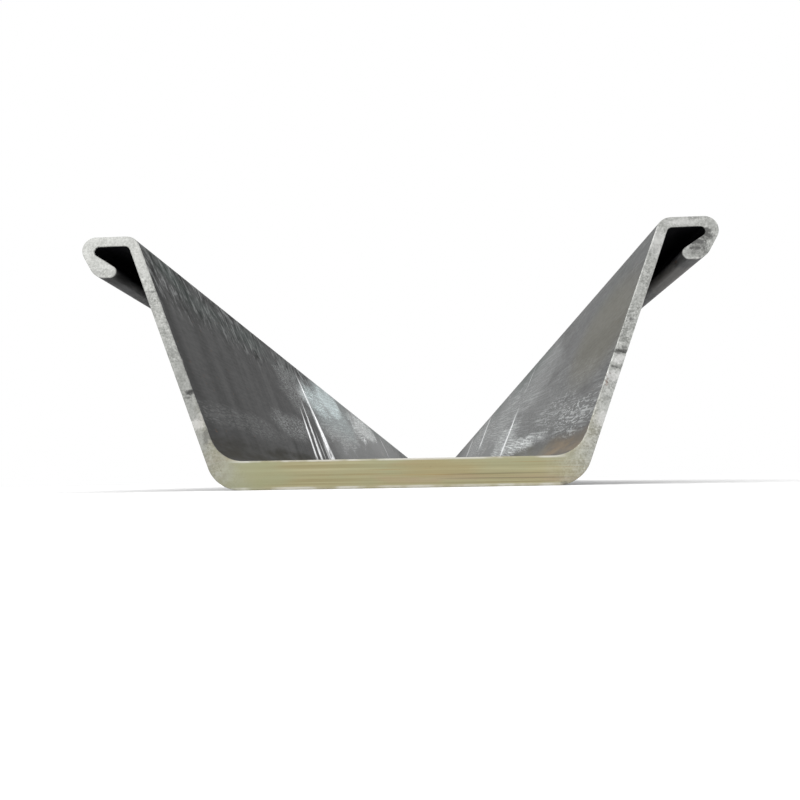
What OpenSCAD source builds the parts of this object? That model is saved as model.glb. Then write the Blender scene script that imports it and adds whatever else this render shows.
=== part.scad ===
// Hot-rolled U-section steel sheet pile: a thick flat pan, two sloping webs and
// a hooked clutch along each edge. It lies on the back of its pan, open side up,
// with its length along Y and the origin under the middle of the pan.

/* [Pile] */
// Length of the pile
pile_l = 6000; // [500:50:12000]
// Width of wall that one pile makes, between the centre lines of its clutches
effective_w = 500; // [440:1:640]
// Height of the clutch centre line above the back of the pan
effective_h = 200; // [150:1:260]

/* [Pan] */
// Width of the pan's back, measured to its sharp outer corners
pan_w = 303; // [240:1:340]
// Thickness of the pan
pan_t = 24.3; // [16:0.1:30]
// Radius inside the corner of pan and web
pan_r_in = 30; // [10:1:45]
// Radius outside the corner of pan and web
pan_r_out = 30; // [10:1:45]

/* [Webs] */
// Thickness of the webs at the shoulder
web_t = 9.2; // [7:0.1:14]
// Thickness of the webs at the pan
web_foot_t = 10.8; // [8:0.1:16]
// Radius of the shoulder on the open side of the pile
shoulder_r_out = 13; // [6:0.5:16]
// Radius of the shoulder inside the clutch
shoulder_r_in = 5; // [2:0.5:7]

/* [Clutches] */
// Height of a clutch from the top of its arm to the back of its finger
clutch_h = 37; // [34:0.1:42]
// Thickness of the arm that carries the hook
arm_t = 9; // [7:0.1:10.5]
// Distance from the clutch centre line in to the web
shoulder_in = 17; // [15:0.5:20]
// Distance from the clutch centre line out to the edge of the hook
hook_reach = 24.5; // [21:0.1:26]
// Gap left between two clutches that are slid together
clutch_play = 1; // [0.5:0.1:2]
// Slope of the finger's gripping face, from level
finger_slope = 33; // [28:0.5:36]
// Slope of the hook's outer face, from level
hook_slope = 60; // [50:1:66]
// Radius at the end of the chamber
chamber_r = 4.2; // [3:0.1:5]
// Radius of the finger's tip
tip_r = 5.4; // [4:0.1:6]
// Radius where the finger turns into the hook
heel_r = 14; // [8:0.5:16]
// Radius where the hook turns into the arm
hook_r = 12; // [8:0.5:14]

/* [Hidden] */

// Largest angle between the points of an arc
arc_step = 5;

// Two clutches slide together when one is turned half round on their centre line,
// so the arm of each passes behind the finger of the other with the play between.
arm_top = effective_h + (clutch_h + arm_t + clutch_play) / 2;
arm_under = arm_top - arm_t;
finger_back = arm_top - clutch_h;
clutch_x = effective_w / 2;
shoulder_x = clutch_x - shoulder_in;

// Lean of the web: sideways run for each unit of height
web_lean = (shoulder_x - pan_w / 2) / arm_under;

// Thickness of the web at a height: it thickens evenly from the shoulder down to the pan
function web_thickness(z) = web_foot_t + (web_t - web_foot_t) * (z - pan_t) / (arm_under - pan_t);

// The gripping face passes half the play below the clutch centre line
grip_drop = clutch_play / 2 / cos(finger_slope);

// Place of the web's outer and inner faces at a height
function web_outer(z) = pan_w / 2 + z * web_lean;
function web_inner(z) = web_outer(z) - web_thickness(z) * sqrt(1 + pow(web_lean, 2));

// Place of the finger's gripping face at a height
function grip_face(z) = clutch_x + (z - effective_h + grip_drop) / tan(finger_slope);

// Place of the hook's outer face at a height
hook_corner = clutch_x + hook_reach - hook_r + hook_r * tan(90 - hook_slope / 2);
function hook_face(z) = hook_corner - (arm_top - z) / tan(hook_slope);

// Right half of the section as sharp corners, each with the radius that rounds it
half_section = [
    [pan_w / 2, 0, pan_r_out],
    [web_outer(arm_under), arm_under, shoulder_r_in],
    [grip_face(arm_under), arm_under, chamber_r],
    [grip_face(finger_back), finger_back, tip_r],
    [hook_face(finger_back), finger_back, heel_r],
    [hook_corner, arm_top, hook_r],
    [web_inner(arm_top), arm_top, shoulder_r_out],
    [web_inner(pan_t), pan_t, pan_r_in],
];

// Left half, in the order that closes the outline
function mirrored(corners) = [
    for (i = [len(corners) - 1:-1:0]) [-corners[i].x, corners[i].y, corners[i].z]
];

function flat(corner) = [corner.x, corner.y];
function unit(v) = v / norm(v);
function cross_2d(a, b) = a.x * b.y - a.y * b.x;

// Points of the arc that rounds a corner between the corners before and after it
function corner_arc(before, corner, after) =
    let (
        tip = flat(corner),
        back = unit(flat(before) - tip),
        ahead = unit(flat(after) - tip),
        half_angle = acos(back * ahead) / 2,
        centre = tip + unit(back + ahead) * corner.z / sin(half_angle),
        start = tip + back * corner.z / tan(half_angle) - centre,
        turn = (180 - 2 * half_angle) * sign(cross_2d(ahead, back)),
        steps = ceil(abs(turn) / arc_step)
    )
    [
        for (i = [0:steps])
            let (a = turn * i / steps)
            centre + [start.x * cos(a) - start.y * sin(a), start.x * sin(a) + start.y * cos(a)]
    ];

function rounded(corners) = [
    for (i = [0:len(corners) - 1])
        let (n = len(corners))
        each corner_arc(corners[(i + n - 1) % n], corners[i], corners[(i + 1) % n])
];

module section() {
    polygon(rounded(concat(half_section, mirrored(half_section))));
}

module sheet_pile() {
    color("dimgray")
        rotate([90, 0, 0])
            linear_extrude(height = pile_l, center = true)
                section();
}

sheet_pile();
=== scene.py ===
"""A U-section steel sheet pile lying on the back of its pan, seen along its length from floor level."""

import math

import bmesh
import bpy
from mathutils import Matrix, Vector


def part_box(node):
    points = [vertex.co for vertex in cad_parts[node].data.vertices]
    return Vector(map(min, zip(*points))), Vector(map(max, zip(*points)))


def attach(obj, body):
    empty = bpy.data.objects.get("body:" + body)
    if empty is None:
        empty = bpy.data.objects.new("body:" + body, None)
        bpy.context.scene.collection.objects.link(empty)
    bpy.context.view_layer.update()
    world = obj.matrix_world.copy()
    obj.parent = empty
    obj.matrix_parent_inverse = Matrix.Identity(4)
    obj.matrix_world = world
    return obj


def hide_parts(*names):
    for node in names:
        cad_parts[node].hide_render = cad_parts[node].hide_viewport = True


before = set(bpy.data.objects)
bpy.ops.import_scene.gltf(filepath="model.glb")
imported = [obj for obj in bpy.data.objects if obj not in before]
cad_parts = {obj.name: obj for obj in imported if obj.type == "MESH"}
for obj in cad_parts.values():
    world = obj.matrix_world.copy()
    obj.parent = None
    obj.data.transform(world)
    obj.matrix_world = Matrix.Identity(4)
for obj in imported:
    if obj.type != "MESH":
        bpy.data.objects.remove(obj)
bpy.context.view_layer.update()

# Sizes of the pile, in metres
PILE = "sheet_pile"
low_corner, high_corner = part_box(PILE)
near_y = low_corner.y
half_length = high_corner.y
height = high_corner.z
pan_thickness = 0.0243
web_foot = 0.1515
web_lean = 0.38
arm_under = 0.2145
finger_back = 0.1865

# Depth behind the webs' outer faces that parts the finish of the outer faces from that of the inner ones
skin = 0.004

# Broken edges of the sawn ends: size in metres and number of faces
edge_break = 0.0009
edge_break_steps = 2

# Limits of the mesh work, in metres and radians
station_gap = 0.25
sharp_angle = math.radians(20)
flat_angle = math.radians(0.5)
merge_distance = 1e-6
nick_merge = 1e-7
nick_line = 1e-5

# Nicks across the near end of the webs: place across and up, half width, depth
nicks = [
    (0.1886, 0.1095, 0.0015, 0.0012),
    (0.1836, 0.0963, 0.0010, 0.0006),
    (-0.1778, 0.0830, 0.0013, 0.0008),
]


class Value:
    """A number, colour or vector that flows between nodes."""

    def __init__(self, nodes, socket):
        self.nodes = nodes
        self.socket = socket

    def _math(self, operation, first, second):
        return self.nodes.node("ShaderNodeMath", {"operation": operation}, {0: first, 1: second})

    def __add__(self, other):
        return self._math("ADD", self, other)

    def __radd__(self, other):
        return self._math("ADD", other, self)

    def __sub__(self, other):
        return self._math("SUBTRACT", self, other)

    def __rsub__(self, other):
        return self._math("SUBTRACT", other, self)

    def __mul__(self, other):
        return self._math("MULTIPLY", self, other)

    def __rmul__(self, other):
        return self._math("MULTIPLY", other, self)

    def __truediv__(self, other):
        return self._math("DIVIDE", self, other)

    def __rtruediv__(self, other):
        return self._math("DIVIDE", other, self)

    def __abs__(self):
        return self._math("ABSOLUTE", self, 0.0)

    def most(self, other):
        return self._math("MAXIMUM", self, other)


class Nodes:
    """A node tree that is filled one node at a time."""

    def __init__(self, tree):
        self.tree = tree
        tree.nodes.clear()

    def feed(self, socket, value):
        if isinstance(value, Value):
            self.tree.links.new(value.socket, socket)
        else:
            socket.default_value = value

    def node(self, kind, settings=None, inputs=None, output=0):
        made = self.tree.nodes.new(kind)
        for name, setting in (settings or {}).items():
            setattr(made, name, setting)
        for name, value in (inputs or {}).items():
            self.feed(made.inputs[name], value)
        return Value(self, made.outputs[output] if made.outputs else None)

    def parts(self, vector):
        split = self.node("ShaderNodeSeparateXYZ", inputs={"Vector": vector})
        return [Value(self, split.socket.node.outputs[axis]) for axis in "XYZ"]

    def vector(self, x, y, z):
        return self.node("ShaderNodeCombineXYZ", inputs={"X": x, "Y": y, "Z": z})

    def step(self, value, start, end):
        """Rises smoothly from 0 at start to 1 at end; start may be the higher of the two."""
        inputs = {"Value": value, "From Min": start, "From Max": end}
        return self.node("ShaderNodeMapRange", {"interpolation_type": "SMOOTHSTEP"}, inputs)

    def ranged(self, value, low, high):
        """Maps 0 to 1 onto low to high."""
        return self.node("ShaderNodeMapRange", inputs={"Value": value, "To Min": low, "To Max": high})

    def mixed(self, first, second, share):
        return self.node("ShaderNodeMix", {"data_type": "RGBA"}, {0: share, 6: first, 7: second}, output=2)


class Finish(Nodes):
    """A material made of one shader, with patterns laid out in the object's own metres."""

    def __init__(self, name):
        self.material = bpy.data.materials.new(name)
        self.material.use_nodes = True
        super().__init__(self.material.node_tree)
        surface = self.node("ShaderNodeBsdfPrincipled")
        self.surface = surface.socket.node
        self.node("ShaderNodeOutputMaterial", inputs={"Surface": surface})
        self.place = self.node("ShaderNodeTexCoord", output="Object")
        self.x, self.y, self.z = self.parts(self.place)
        self.side = abs(self.x)

    def stretched(self, scale):
        return self.node("ShaderNodeVectorMath", {"operation": "MULTIPLY"}, {0: self.place, 1: scale})

    def noise(self, scale, detail=4.0, roughness=0.55):
        """Noise over the object's place, with a number of cells to the metre for each axis."""
        at = scale if isinstance(scale, Value) else self.stretched(scale)
        inputs = {"Vector": at, "Scale": 1.0, "Detail": detail, "Roughness": roughness}
        return self.node("ShaderNodeTexNoise", inputs=inputs)

    def swing(self, scale, detail):
        """Noise that swings about 0."""
        return self.noise(scale, detail) - 0.5

    def patch(self, first, second, centre, reach, ragged=0.0):
        """An oval that is 1 in its middle and fades to 0 at its reach."""
        a = (first - centre[0]) / reach[0]
        b = (second - centre[1]) / reach[1]
        return self.step(a * a + b * b + ragged, 1.0, 0.1)

    def bump(self, relief, strength, distance):
        inputs = {"Height": relief, "Strength": strength, "Distance": distance}
        return self.node("ShaderNodeBump", inputs=inputs)

    def set(self, **sockets):
        for name, value in sockets.items():
            self.feed(self.surface.inputs[name.replace("_", " ")], value)


# Colours of the rolled faces, linear
DARK_SCALE = (0.016, 0.016, 0.016, 1.0)
GREY_SCALE = (0.108, 0.109, 0.108, 1.0)
# Pale of the rubs and worn places, and of the painted glints and sheen
PALE_SCALE_AND_GLINT = (0.730, 0.755, 0.750, 1.0)
# Teal of the painted glint on the left web
TEAL_GLINT = (0.720, 0.830, 0.840, 1.0)
GREEN_SHEEN = (0.060, 0.090, 0.078, 1.0)
OLIVE_STAIN = (0.150, 0.138, 0.082, 1.0)
BROWN_STAIN = (0.198, 0.142, 0.074, 1.0)
DARK_OLIVE = (0.098, 0.096, 0.068, 1.0)
DARK_STAIN = (0.040, 0.037, 0.028, 1.0)
BARE_PATCH = (0.150, 0.142, 0.130, 1.0)
RUST = (0.130, 0.062, 0.028, 1.0)
# White of the scrapes: real bare metal, painted as bright as its glint
SCRATCH_GLINT = (0.88, 0.89, 0.90, 1.0)
WORN_RIM = (0.26, 0.26, 0.25, 1.0)
# Near-black painted shade inside the clutches
CHAMBER_SHADE = (0.004, 0.004, 0.005, 1.0)

# Sides of the pile
LEFT = -1
RIGHT = 1

# Stretches along the length over which a finish, a painted shade or a painted sheen comes in, from none to
# full, in metres
# Painted shade on the near stretch of the left web
shade_stretch = (-2.10, -2.50)
# Painted sheen on the insides of the webs past the near stretch
far_sheen_stretch = (-2.45, -2.05)
far_sheen_end = (1.4, 0.2)
flaked_stretch = (-2.4, -1.2)
faint_rubs = (-2.3, -1.5)
unbroken_strokes = (-2.80, -2.60)
speckled_stretch = (-2.25, -2.45)
faint_stain = (-2.7, -1.6)
olive_stain_stretch = (-2.88, -2.74)

# Heights over which a finish comes in on the webs, from none to full, in metres
rub_heights = (0.155, 0.190)
sheen_heights = (0.165, 0.215)
teal_heights = (0.09, 0.15)
wide_scrape_heights = (0.16, 0.04)

# The teal tint of the painted glint on the left web: its middle along the length, and where it comes in on
# either side of that
teal_middle = -2.0
teal_reach = (0.45, 0.25)

# An olive stain on the right web: place along and up, reach along and up
olive_place = ((-2.90, 0.145), (0.16, 0.060))

# The stained band along the foot of each web: height of its middle, distances from that at which it is
# gone and full, and places across at which it is gone and full
stain_height = 0.036
stain_fade = (0.018, 0.003)
stain_start = (0.127, 0.146)

# The painted shade inside the clutches, from none to full: across the finger, up the web, across beside the
# web
shade_finger_across = (0.2665, 0.2645)
shade_web_up = (0.145, 0.170)
shade_web_across = (0.2385, 0.2370)

# Scrapes down the insides of the webs, each a bundle of lines painted white as their glint: side, place
# along the length at mid height, lean along the length for each metre of height, half width, lowest,
# highest, strength
scrapes = [
    (LEFT, -2.460, 0.34, 0.013, 0.022, 0.145, 0.90),
    (LEFT, -2.420, 0.20, 0.016, 0.022, 0.160, 0.95),
    (LEFT, -2.324, -0.33, 0.042, 0.022, 0.215, 1.00),
    (LEFT, -2.388, 0.05, 0.006, 0.030, 0.110, 0.65),
    (LEFT, -2.355, -0.10, 0.006, 0.025, 0.095, 0.65),
    (LEFT, -1.460, 2.60, 0.055, 0.095, 0.190, 0.85),
    (LEFT, -0.360, -1.60, 0.090, 0.090, 0.220, 0.65),
    (RIGHT, -2.248, -0.45, 0.030, 0.035, 0.155, 0.95),
    (RIGHT, -2.227, -0.95, 0.024, 0.160, 0.220, 0.85),
    (RIGHT, -1.245, -0.40, 0.140, 0.100, 0.225, 0.85),
    (RIGHT, -0.205, -1.30, 0.240, 0.100, 0.215, 0.80),
]

# A scrape with a larger half width falls into coarser, separate lines
wide_scrape = 0.05

# Lengths over which a scrape fades out at its bottom and at its top
scrape_bottom_fade = 0.03
scrape_top_fade = 0.05

# Paler places on the insides of the webs, worn ones and painted glints: side, place along and up, reach
# along and up, share that is even, share that is broken into strokes and specks
worn_and_glint_places = [
    # The first two rows are a painted glint of a far light, teal at its edge
    (LEFT, -2.01, 0.186, 0.27, 0.042, 0.62, 0.80),
    (LEFT, -2.23, 0.163, 0.21, 0.040, 0.45, 0.65),
    (LEFT, -1.96, 0.140, 0.50, 0.085, 0.22, 0.34),
    (LEFT, -1.20, 0.185, 0.62, 0.048, 0.44, 0.85),
    (LEFT, -1.43, 0.150, 0.26, 0.035, 0.20, 0.80),
    (LEFT, -2.46, 0.165, 0.13, 0.050, 0.04, 0.25),
    (LEFT, -2.59, 0.086, 0.17, 0.024, 0.06, 0.28),
    (LEFT, -2.85, 0.069, 0.24, 0.016, 0.02, 0.08),
    (RIGHT, -2.92, 0.064, 0.15, 0.026, 0.08, 0.46),
    (RIGHT, -2.76, 0.084, 0.20, 0.022, 0.05, 0.29),
    (RIGHT, -2.50, 0.057, 0.34, 0.017, 0.30, 0.75),
    (RIGHT, -2.52, 0.090, 0.60, 0.075, 0.10, 0.10),
    (RIGHT, -2.18, 0.075, 0.34, 0.055, 0.25, 0.42),
    (RIGHT, -2.40, 0.170, 0.38, 0.060, 0.15, 0.10),
    (RIGHT, -2.01, 0.140, 0.60, 0.090, 0.15, 0.21),
    (RIGHT, -1.10, 0.140, 1.20, 0.100, 0.10, 0.25),
    # Painted light: this row lightens the upper near stretch of the right web
    (RIGHT, -2.90, 0.195, 0.40, 0.090, 0.06, 0.00),
]


def strongest(values):
    result = values[0]
    for value in values[1:]:
        result = result.most(value)
    return result


def on_side(finish, side):
    return finish.step(finish.x * side, 0.0, 0.01)


def off_web_line(finish):
    """Place across the pile, measured from the slope of the web."""
    return finish.side - finish.z * web_lean


def inside_of_web(finish):
    return finish.step(off_web_line(finish), web_foot - skin, web_foot - skin * 2)


def scrape_lines(finish):
    """The scrapes, painted white as their glint, broken into lines that run down the slope and widen
    downward.
    """
    wobble = finish.swing((20, 30, 20), detail=3)
    widening = finish.ranged(finish.step(finish.z, *wide_scrape_heights), 0.3, 1.0)
    fine_lines = finish.step(finish.noise((7, 300, 7), detail=2), 0.32, 0.45)
    coarse_lines = finish.step(finish.noise((6, 75, 6), detail=2), 0.45, 0.53)
    bundles = []
    for side, along, lean, half, bottom, top, strength in scrapes:
        off_line = abs(finish.y - along - (finish.z - height / 2) * lean) / (widening * half)
        lines = coarse_lines if half > wide_scrape else fine_lines
        bundle = finish.step(off_line + wobble, 1.0, 0.3) * lines
        bundle = bundle * finish.step(finish.z, bottom, bottom + scrape_bottom_fade)
        bundle = bundle * finish.step(finish.z, top, top - scrape_top_fade)
        bundles.append(bundle * on_side(finish, side) * strength)
    unbroken = finish.step(finish.noise((25, 50, 25), detail=3), 0.30, 0.44)
    return strongest(bundles) * unbroken * inside_of_web(finish)


def worn_strokes(finish):
    """Strokes along the length and specks, with more specks on the near stretch of the left web."""
    strokes_at = finish.vector(finish.x * 12, finish.y * 7, (finish.z - finish.y * 0.06) * 500)
    strokes = finish.step(finish.noise(strokes_at, detail=1), 0.46, 0.64)
    unbroken = finish.step(finish.y, *unbroken_strokes) * on_side(finish, RIGHT)
    strokes = strokes * finish.step(finish.noise((300, 40, 300), detail=2), 0.38, 0.60).most(unbroken)
    near_left = (1 - on_side(finish, RIGHT)) * finish.step(finish.y, *speckled_stretch)
    strokes = strokes * (1 - near_left * 0.65)
    specks = finish.step(finish.noise((620, 95, 620), detail=1) + near_left * 0.06, 0.52, 0.68)
    return strokes.most(specks)


def worn_and_glint_patches(finish):
    """Where the scale inside the webs is rubbed paler or painted paler as a glint: evenly, in strokes and in
    specks.
    """
    ragged = finish.swing((40, 9, 40), detail=4)
    even = []
    broken = []
    for side, along, up, reach_along, reach_up, even_share, broken_share in worn_and_glint_places:
        oval = ((along, up), (reach_along, reach_up))
        soft = finish.patch(finish.y, finish.z, *oval, ragged)
        torn = finish.patch(finish.y, finish.z, *oval, ragged * 1.8)
        even.append(soft * on_side(finish, side) * even_share)
        broken.append(torn * on_side(finish, side) * broken_share)
    return (strongest(even) + strongest(broken) * worn_strokes(finish)) * inside_of_web(finish)


def top_rubs(finish):
    """Short bent rub marks below the top edges of the webs, the pale ones and the dark ones."""
    bend = finish.swing((9, 16, 9), detail=2)
    slanted = finish.y + finish.z * 0.3 + bend * 0.06
    rubs_at = finish.vector(finish.x * 5, slanted * 90, finish.z * 60)
    grain = finish.noise(rubs_at, detail=4, roughness=0.65)
    ragged = finish.swing((20, 30, 20), detail=3)
    zone = finish.step(finish.noise((3, 6, 3), detail=3), 0.34, 0.50)
    zone = zone * finish.step(finish.z + ragged * 0.05, *rub_heights)
    zone = zone * inside_of_web(finish) * finish.ranged(finish.step(finish.y, *faint_rubs), 1.0, 0.5)
    zone = zone * finish.ranged(finish.step(finish.x, -0.02, 0.02), 1.0, 0.45)
    return finish.step(grain, 0.51, 0.62) * zone, finish.step(grain, 0.49, 0.38) * zone


def fillet_stain(finish):
    """A stained band along the foot of each web, fading away from the near end."""
    wander = finish.swing((10, 5, 10), detail=4)
    band = finish.step(abs(finish.z + wander * 0.018 - stain_height), *stain_fade)
    band = band * finish.step(finish.side, *stain_start) * inside_of_web(finish)
    patchy = finish.ranged(finish.step(finish.noise((60, 14, 60), detail=5), 0.38, 0.60), 0.45, 1.0)
    return band * patchy * finish.ranged(finish.step(finish.y + wander, *faint_stain), 1.0, 0.15)


def chamber_inside(finish):
    """The inside of both clutches: their upper faces and the web's outer face beside them, painted
    near-black as shade.
    """
    outside = finish.step(off_web_line(finish), web_foot - skin, web_foot - skin / 2)
    under_arm = finish.step(finish.z, arm_under + 0.004, arm_under + 0.002)
    over_finger = finish.step(finish.z, finger_back + 0.004, finger_back + 0.008)
    over_finger = over_finger * finish.step(finish.side, *shade_finger_across)
    beside_web = finish.step(finish.z, *shade_web_up) * finish.step(finish.side, *shade_web_across)
    return outside * under_arm * over_finger.most(beside_web)


def pale_and_dark_wear(finish, colour, clouds, left):
    """Adds the worn places, the painted glints, the painted sheen past the near stretch and the rub marks;
    gives the colour and the dark rubs of the left web.
    """
    # Painted sheen: the insides of the webs grow paler past the near stretch
    far_painted_sheen = finish.step(finish.y + (clouds - 0.5) * 0.6, *far_sheen_stretch)
    far_painted_sheen = far_painted_sheen * finish.step(finish.y, *far_sheen_end) * inside_of_web(finish)
    pale_rubs, dark_rubs = top_rubs(finish)
    dark_rubs = dark_rubs * left
    pale = (pale_rubs * 0.22).most(worn_and_glint_patches(finish)).most(far_painted_sheen * 0.14)
    teal = left * finish.step(finish.z, *teal_heights)
    teal = teal * finish.step(abs(finish.y - teal_middle), *teal_reach)
    colour = finish.mixed(colour, finish.mixed(PALE_SCALE_AND_GLINT, TEAL_GLINT, teal), pale)
    return finish.mixed(colour, DARK_SCALE, dark_rubs * 0.8), dark_rubs


def sheen_and_stains(finish, colour, near_painted_shade, stain, left):
    """Adds the green sheen at the top, the olive stain and the stained feet of the webs."""
    sheen = finish.step(finish.noise((7, 2.5, 7), detail=3), 0.44, 0.60)
    sheen = sheen * finish.step(finish.z, *sheen_heights)
    colour = finish.mixed(colour, GREEN_SHEEN, sheen * finish.ranged(near_painted_shade, 0.35, 0.50))
    olive = finish.patch(finish.y, finish.z, *olive_place) * on_side(finish, RIGHT)
    colour = finish.mixed(colour, OLIVE_STAIN, olive * 0.35 * inside_of_web(finish))
    right_stain = finish.mixed(BROWN_STAIN, DARK_OLIVE, finish.step(finish.y, *olive_stain_stretch))
    return finish.mixed(colour, finish.mixed(right_stain, DARK_STAIN, left), stain * 0.8)


def mill_scale():
    """Dark rolled faces: scale with rolling streaks, flaked patches, rub marks, scrapes painted with their
    glint and stains; painted shade near the left web's end and in the clutches, painted sheen and glints on
    the webs.
    """
    finish = Finish("mill_scale")
    clouds = finish.noise((5, 1.4, 5), detail=5)
    mottle = finish.noise((70, 30, 70), detail=4)
    rolling = finish.noise((110, 0.5, 110), detail=4)
    tooth = finish.noise((380, 60, 380), detail=3)
    left = finish.step(finish.x, 0.02, -0.02)
    on_left_web = finish.step(finish.x, -0.095, -0.135)
    # Painted shade: the near stretch of the left web is darkened
    near_painted_shade = finish.step(finish.y + (clouds - 0.5) * 0.5, *shade_stretch) * on_left_web
    runs = finish.swing((3, 26, 3), detail=3)
    tone = clouds * 0.36 + mottle * 0.20 + rolling * 0.14 + tooth * 0.30
    tone = finish.step(tone, 0.34, 0.66) * (1 - near_painted_shade * 0.55) + runs * near_painted_shade * 1.3
    colour = finish.mixed(DARK_SCALE, GREY_SCALE, tone)

    flakes = finish.noise((14, 4.5, 14), detail=7, roughness=0.62)
    away = finish.step(finish.y, *flaked_stretch).most(1 - inside_of_web(finish))
    flaked = finish.step(flakes, 0.56, 0.60) * away
    colour = finish.mixed(colour, BARE_PATCH, flaked * 0.45)
    colour, dark_rubs = pale_and_dark_wear(finish, colour, clouds, left)
    stain = fillet_stain(finish)
    colour = sheen_and_stains(finish, colour, near_painted_shade, stain, left)

    specks = finish.step(finish.noise((240, 130, 240), detail=3), 0.67, 0.75)
    blooms = finish.step(finish.noise((12, 5, 12), detail=6, roughness=0.65), 0.66, 0.76) * away
    rust = specks.most(blooms) * 0.45
    colour = finish.mixed(colour, RUST, rust)

    bright = scrape_lines(finish)
    # Painted highlight: the scrapes are real, their white is the glint they catch
    colour = finish.mixed(colour, SCRATCH_GLINT, bright)
    end_gap = half_length - abs(finish.y)
    worn = finish.step(end_gap - (finish.noise((120, 120, 120), detail=3) - 0.40) * 0.014, 0.0, -0.002)
    colour = finish.mixed(colour, WORN_RIM, worn)
    # Painted shade: the insides of the clutches are painted near-black
    colour = finish.mixed(colour, CHAMBER_SHADE, chamber_inside(finish))

    dull = (near_painted_shade * 0.07).most(dark_rubs * 0.25).most(stain * left * 0.22).most(rust * 0.2)
    relief = mottle * 0.5 + rolling * 0.3 + tooth * 0.5 - flaked * 0.2 - bright * 0.5
    bare = bright.most(worn * 0.6)
    finish.set(
        Base_Color=colour,
        Roughness=finish.ranged(mottle, 0.46, 0.62) + dull - bare * 0.15,
        Metallic=bare * 0.9,
        Specular_IOR_Level=0.11,
        Normal=finish.bump(relief, 0.40, 0.0006),
    )
    return finish.material


# Colours of the sawn ends, linear
SILVER = (0.430, 0.436, 0.416, 1.0)
PALE_SILVER = (0.640, 0.645, 0.620, 1.0)
DULL_SILVER = (0.240, 0.244, 0.230, 1.0)
BRIGHT_SILVER = (0.800, 0.790, 0.780, 1.0)
KHAKI = (0.330, 0.292, 0.155, 1.0)
PALE_KHAKI = (0.445, 0.410, 0.250, 1.0)
GREEN_KHAKI = (0.345, 0.352, 0.215, 1.0)
PINK_BROWN = (0.410, 0.315, 0.205, 1.0)
ORANGE_STREAK = (0.400, 0.265, 0.100, 1.0)
DARK_KHAKI = (0.200, 0.170, 0.095, 1.0)
# Painted highlight along the edges of the pan's ends
RIM_HIGHLIGHT = (0.700, 0.690, 0.640, 1.0)
DARK_PIT = (0.030, 0.029, 0.028, 1.0)
RED_SPECK = (0.180, 0.075, 0.045, 1.0)

# Dark marks on the near end, the last four beside the right clutch's hollow: place across and up, reach
# across and up, strength
dark_end_marks = [
    (-0.1743, 0.0835, 0.0060, 0.0030, 1.0),
    (-0.1768, 0.0790, 0.0040, 0.0012, 0.5),
    (-0.2125, 0.1723, 0.0080, 0.0010, 0.6),
    (-0.1597, 0.0450, 0.0045, 0.0090, 0.5),
    (0.1881, 0.1098, 0.0085, 0.0024, 0.8),
    (0.1906, 0.1125, 0.0034, 0.0018, 0.5),
    (0.1865, 0.1082, 0.0034, 0.0018, 0.6),
    (0.1831, 0.0966, 0.0070, 0.0014, 0.5),
    (0.1977, 0.1360, 0.0026, 0.0020, 0.7),
    (0.1365, 0.0020, 0.0045, 0.0018, 0.5),
    # These rows darken the right hook's end next to the clutch's hollow, darkest against it
    (0.2560, 0.1960, 0.0110, 0.0100, 0.45),
    (0.2635, 0.2075, 0.0075, 0.0070, 0.85),
    (0.2570, 0.2010, 0.0090, 0.0036, 0.90),
    (0.2550, 0.1955, 0.0120, 0.0018, 0.90),
]

# Bright places on the near end, in the same columns
bright_places = [
    (-0.1680, 0.0555, 0.0080, 0.0060, 1.0),
    (-0.1640, 0.0640, 0.0030, 0.0080, 0.6),
    (0.1860, 0.1030, 0.0075, 0.0055, 0.9),
    (0.1800, 0.0895, 0.0075, 0.0060, 0.8),
    (0.1690, 0.0535, 0.0080, 0.0080, 0.8),
    (0.2230, 0.2030, 0.0120, 0.0140, 0.5),
    (0.2452, 0.2187, 0.0180, 0.0030, 0.7),
]

# Single places on the ends: place across and up, reach across and up
orange_place = ((0.034, 0.017), (0.045, 0.010))
mossy_place = ((-0.122, 0.012), (0.045, 0.018))
lined_place = ((0.095, 0.007), (0.075, 0.007))
red_place = ((0.170, 0.088), (0.010, 0.012))

# Where the film and the painted highlights on the rims of the pan's ends come in, from none to full, in
# metres
film_ends = (0.178, 0.114)
rim_ends = (0.146, 0.126)
upper_rim_below = (pan_thickness - 0.0020, pan_thickness - 0.0008)
upper_rim_above = (pan_thickness + 0.003, pan_thickness + 0.001)
lower_rim_above = (0.0028, 0.0016)


def near_half(finish):
    return finish.step(finish.y, 0.1, -0.1)


def end_marks(finish, marks):
    """Ragged ovals on the near end."""
    ragged = finish.swing((300, 5, 300), detail=3)
    ovals = []
    for across, up, reach_across, reach_up, strength in marks:
        oval = finish.patch(finish.x, finish.z, (across, up), (reach_across, reach_up), ragged * 3.0)
        ovals.append(oval * strength)
    return strongest(ovals) * near_half(finish)


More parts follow.
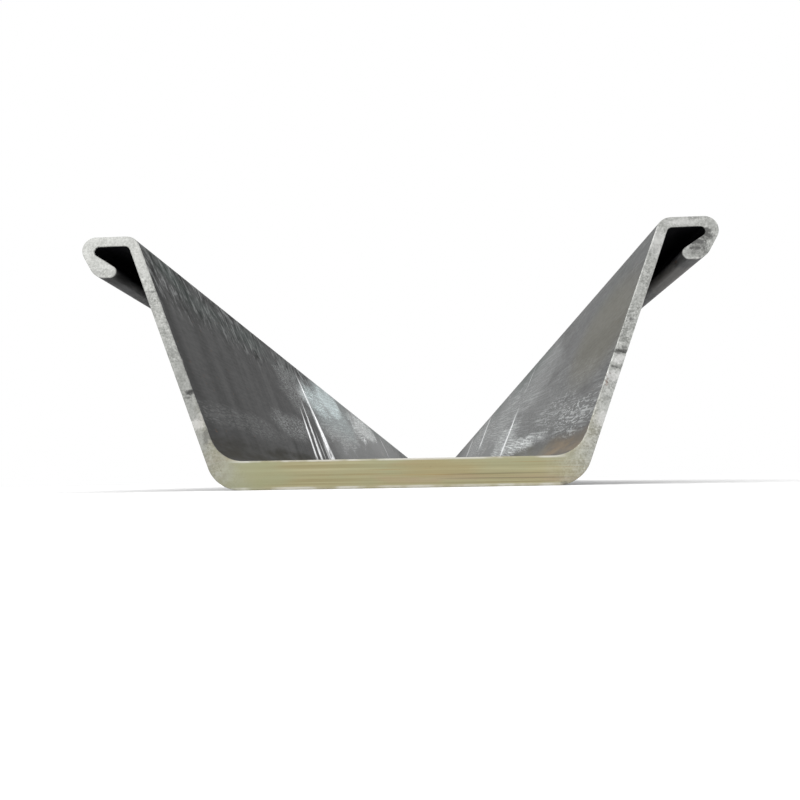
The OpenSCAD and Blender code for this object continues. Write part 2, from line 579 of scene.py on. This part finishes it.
def silver_steel(finish, saw_lines, speckle):
    """Clean cut steel with soft patches, hair lines and specks, paler at the top and duller low on the left,
    partly as painted light from the upper left.
    """
    blotch = finish.noise((60, 5, 60), detail=5)
    colour = finish.mixed(DULL_SILVER, SILVER, finish.step(blotch * 0.35 + speckle * 0.65, 0.40, 0.54))
    colour = finish.mixed(colour, PALE_SILVER, finish.step(speckle, 0.52, 0.68) * 0.8)
    colour = finish.mixed(colour, PALE_SILVER, finish.step(saw_lines, 0.50, 0.70) * 0.30)
    mottle = finish.noise((150, 5, 150), detail=3)
    colour = finish.mixed(colour, PALE_SILVER, finish.step(mottle, 0.52, 0.66) * 0.45)
    colour = finish.mixed(colour, DULL_SILVER, finish.step(mottle, 0.47, 0.34) * 0.45)
    # Partly painted light from the upper left, partly finish: duller low on the left web end, paler at the
    # top
    left = finish.step(finish.x, 0.0, -0.1)
    colour = finish.mixed(colour, DULL_SILVER, finish.step(finish.z, 0.17, 0.08) * left * 0.4)
    pale_top = finish.step(finish.z, 0.165, 0.205) * finish.ranged(left, 0.15, 0.35)
    colour = finish.mixed(colour, PALE_SILVER, pale_top)
    return finish.mixed(colour, BRIGHT_SILVER, end_marks(finish, bright_places) * 0.5)


def khaki_film(finish, saw_lines):
    """The film on the pan's end, drawn out in lines by the saw."""
    wide_lines = finish.noise((3, 5, 300), detail=3)
    lines = saw_lines * 0.5 + wide_lines * 0.5 + finish.x * 0.35
    colour = finish.mixed(KHAKI, PALE_KHAKI, finish.step(lines, 0.38, 0.64))
    green = finish.step(finish.noise((9, 5, 30), detail=3), 0.46, 0.64)
    colour = finish.mixed(colour, GREEN_KHAKI, green * 0.55)
    pink = finish.step(finish.noise((14, 5, 90), detail=3), 0.52, 0.68)
    colour = finish.mixed(colour, PINK_BROWN, pink * 0.55)
    streaks = finish.step(finish.noise((8, 5, 420), detail=4), 0.55, 0.70)
    streaks = streaks * finish.step(finish.noise((11, 5, 40), detail=3), 0.46, 0.62)
    ragged = finish.swing((25, 5, 120), detail=4)
    orange = finish.patch(finish.x, finish.z, *orange_place, ragged * 1.5)
    colour = finish.mixed(colour, ORANGE_STREAK, (streaks * 0.6).most(orange * 0.30))
    mossy = finish.patch(finish.x, finish.z, *mossy_place, ragged * 1.5)
    colour = finish.mixed(colour, GREEN_KHAKI, mossy * 0.7)
    lined = finish.patch(finish.x, finish.z, *lined_place, ragged)
    dark_lines = finish.step(finish.noise((4, 5, 620), detail=2), 0.50, 0.62)
    return finish.mixed(colour, DARK_KHAKI, lined * dark_lines * 0.6)


def pan_rim_highlights(finish):
    """Broken painted highlights along the upper and lower edges of the pan's ends, where the edges catch the
    light.
    """
    upper = finish.step(finish.z, *upper_rim_below) * finish.step(finish.z, *upper_rim_above)
    rim = upper.most(finish.step(finish.z, *lower_rim_above)) * finish.step(finish.side, *rim_ends)
    return rim * finish.ranged(finish.step(finish.noise((30, 5, 30), detail=3), 0.40, 0.58), 0.15, 1.0)


def saw_cut():
    """Bare end faces: silver on webs and clutches, a khaki film on the pan, pits and dark marks, painted
    highlights on the pan's edges.
    """
    finish = Finish("saw_cut")
    saw_lines = finish.noise((6, 5, 900), detail=4, roughness=0.7)
    speckle = finish.noise((520, 10, 520), detail=4, roughness=0.7)
    film = finish.step(finish.side + finish.swing((60, 5, 60), detail=4) * 0.03, *film_ends)
    colour = finish.mixed(silver_steel(finish, saw_lines, speckle), khaki_film(finish, saw_lines), film)
    # Painted highlight along the upper and lower edges of the pan's ends
    colour = finish.mixed(colour, RIM_HIGHLIGHT, pan_rim_highlights(finish) * 0.75)

    pits = finish.step(finish.noise((620, 10, 620), detail=2), 0.33, 0.27)
    pits = pits * finish.step(finish.noise((40, 5, 40), detail=3), 0.44, 0.58) * (1 - film * 0.7)
    dark = (pits * 0.8).most(end_marks(finish, dark_end_marks))
    colour = finish.mixed(colour, DARK_PIT, dark * 0.9)
    red = finish.patch(finish.x, finish.z, *red_place) * near_half(finish)
    red = red * finish.step(finish.noise((300, 5, 300), detail=2), 0.54, 0.62)
    colour = finish.mixed(colour, RED_SPECK, red * 0.6)

    relief = speckle * (1 - film * 0.6) + saw_lines * (0.25 + film * 0.5) - dark
    finish.set(
        Base_Color=colour,
        Roughness=finish.ranged(speckle, 0.38, 0.58) + film * 0.08,
        Metallic=0.95 - (dark * 0.8).most(film * 0.45),
        Normal=finish.bump(relief, 0.30, 0.0005),
    )
    return finish.material


def new_piece(name, bm, materials):
    mesh = bpy.data.meshes.new(name)
    bm.to_mesh(mesh)
    bm.free()
    piece = bpy.data.objects.new(name, mesh)
    bpy.context.scene.collection.objects.link(piece)
    for material in materials:
        mesh.materials.append(material)
    return piece


def break_end_edges(bm):
    """Takes the sharp edge off both sawn ends."""
    rims = [e for e in bm.edges if abs(e.verts[0].co.y - e.verts[1].co.y) < half_length]
    bmesh.ops.bevel(
        bm,
        geom=rims,
        offset=edge_break,
        offset_type="OFFSET",
        segments=edge_break_steps,
        profile=0.5,
        affect="EDGES",
        material=-1,
    )


def add_stations(bm):
    """Cuts the long faces across, so that no face runs the whole length."""
    for i in range(1, round(2 * half_length / station_gap)):
        everything = bm.verts[:] + bm.edges[:] + bm.faces[:]
        cut_at = (0, near_y + i * station_gap, 0)
        bmesh.ops.bisect_plane(
            bm, geom=everything, dist=merge_distance, plane_co=cut_at, plane_no=(0, 1, 0))


def cut_nick(bm, across, up, half, depth):
    """Sinks a narrow groove across a web's near end."""
    along_web = Vector((math.copysign(web_lean, across), 0, 1)).normalized()
    middle = Vector((across, near_y, up))
    reach = near_y + edge_break * 1.5
    for offset in (-half, 0, half):
        faces = [f for f in bm.faces if all(v.co.y < reach for v in f.verts)]
        edges = {e for f in faces for e in f.edges}
        verts = {v for f in faces for v in f.verts}
        cut_at = middle + along_web * offset
        bmesh.ops.bisect_plane(
            bm, geom=[*verts, *edges, *faces], dist=nick_merge, plane_co=cut_at, plane_no=along_web)
    for vert in bm.verts:
        off_line = abs((vert.co - middle).dot(along_web))
        if vert.co.y < reach and off_line < nick_line and vert.co.x * across > 0:
            vert.co.y += depth


def make_pile():
    bm = bmesh.new()
    bm.from_mesh(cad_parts[PILE].data)
    bmesh.ops.remove_doubles(bm, verts=bm.verts, dist=merge_distance)
    bmesh.ops.dissolve_limit(bm, angle_limit=flat_angle, verts=bm.verts, edges=bm.edges)
    break_end_edges(bm)
    add_stations(bm)
    for nick in nicks:
        cut_nick(bm, *nick)
    bm.normal_update()
    end_zone = half_length - edge_break * 3
    for face in bm.faces:
        face.smooth = True
        face.material_index = 1 if all(abs(v.co.y) > end_zone for v in face.verts) else 0
    for edge in bm.edges:
        edge.smooth = edge.calc_face_angle(0.0) < sharp_angle
    piece = new_piece("pile_steel", bm, [mill_scale(), saw_cut()])
    piece.data.attributes.remove(piece.data.attributes["custom_normal"])
    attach(piece, "root")
    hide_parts(PILE)


# Half width of the floor in metres, and strength of the sky at the horizon and overhead
floor_half = 150
sky_low = 0.35
sky_high = 1.55
FLOOR_WHITE = (0.93, 0.93, 0.93, 1.0)
WHITE = (1, 1, 1, 1)


def make_floor():
    finish = Finish("pale_floor")
    finish.set(Base_Color=FLOOR_WHITE, Roughness=0.9, Specular_IOR_Level=0.0)
    bm = bmesh.new()
    bmesh.ops.create_grid(bm, x_segments=1, y_segments=1, size=floor_half)
    new_piece("floor", bm, [finish.material])


def make_sky():
    """White where the camera or a reflection looks past the object, and a soft sky for all else."""
    world = bpy.data.worlds.new("studio")
    bpy.context.scene.world = world
    world.use_nodes = True
    sky = Nodes(world.node_tree)
    upward = sky.parts(sky.node("ShaderNodeTexCoord", output="Generated"))[2]
    level = sky.ranged(upward, sky_low, sky_high)
    soft = sky.node("ShaderNodeBackground", inputs={"Color": WHITE, "Strength": level})
    white = sky.node("ShaderNodeBackground", inputs={"Color": WHITE, "Strength": 1.0})
    seen = sky.node("ShaderNodeLightPath", output="Is Camera Ray")
    rays = seen.socket.node.outputs
    shown = seen.most(Value(sky, rays["Is Glossy Ray"])).most(Value(sky, rays["Is Transmission Ray"]))
    mix = sky.node("ShaderNodeMixShader", inputs={0: shown, 1: soft, 2: white})
    sky.node("ShaderNodeOutputWorld", inputs={"Surface": mix})


def aimed(location, target, roll=0.0):
    """Turns an object's -Z at a target, with its +Y up but for the roll."""
    turn = (Vector(target) - Vector(location)).to_track_quat("-Z", "Y").to_matrix().to_4x4()
    return Matrix.Translation(location) @ turn @ Matrix.Rotation(roll, 4, "Z")


# Lamps: name, place, target, width, depth, power in watts
lamps = [
    ("front_lamp", (-2.4, near_y - 3.0, 2.6), (0, near_y, 0.1), 2.5, 2.5, 30),
    ("side_lamp", (-3.0, 0.0, 2.6), (0.1, 0, 0.1), 6.0, 1.6, 60),
    ("back_lamp", (2.6, half_length + 3.0, 3.0), (0, half_length, 0.1), 2.5, 2.5, 45),
]


def make_lamp(name, location, target, width, depth, power):
    lamp = bpy.data.lights.new(name, "AREA")
    lamp.shape = "RECTANGLE"
    lamp.size = width
    lamp.size_y = depth
    lamp.energy = power
    light = bpy.data.objects.new(name, lamp)
    bpy.context.scene.collection.objects.link(light)
    light.matrix_world = aimed(location, target)


# The camera lies almost on the floor, close before the near end
camera_place = Vector((0.0319, near_y - 0.56, 0.0059))
camera_yaw = math.radians(-2.88)
camera_pitch = math.radians(6.807)
camera_roll = math.radians(-0.961)
focal_length = 30.41
sensor_width = 36.0


def make_camera():
    camera = bpy.data.cameras.new("photo_view")
    camera.sensor_width = sensor_width
    camera.lens = focal_length
    camera.clip_start = 0.005
    camera.clip_end = 200
    view = bpy.data.objects.new("photo_view", camera)
    bpy.context.scene.collection.objects.link(view)
    forward = Vector((
        math.sin(camera_yaw) * math.cos(camera_pitch),
        math.cos(camera_yaw) * math.cos(camera_pitch),
        math.sin(camera_pitch),
    ))
    view.matrix_world = aimed(camera_place, camera_place + forward, camera_roll)
    bpy.context.scene.camera = view


make_pile()
make_floor()
make_sky()
for lamp_row in lamps:
    make_lamp(*lamp_row)
make_camera()

bpy.context.scene.view_settings.view_transform = "Standard"
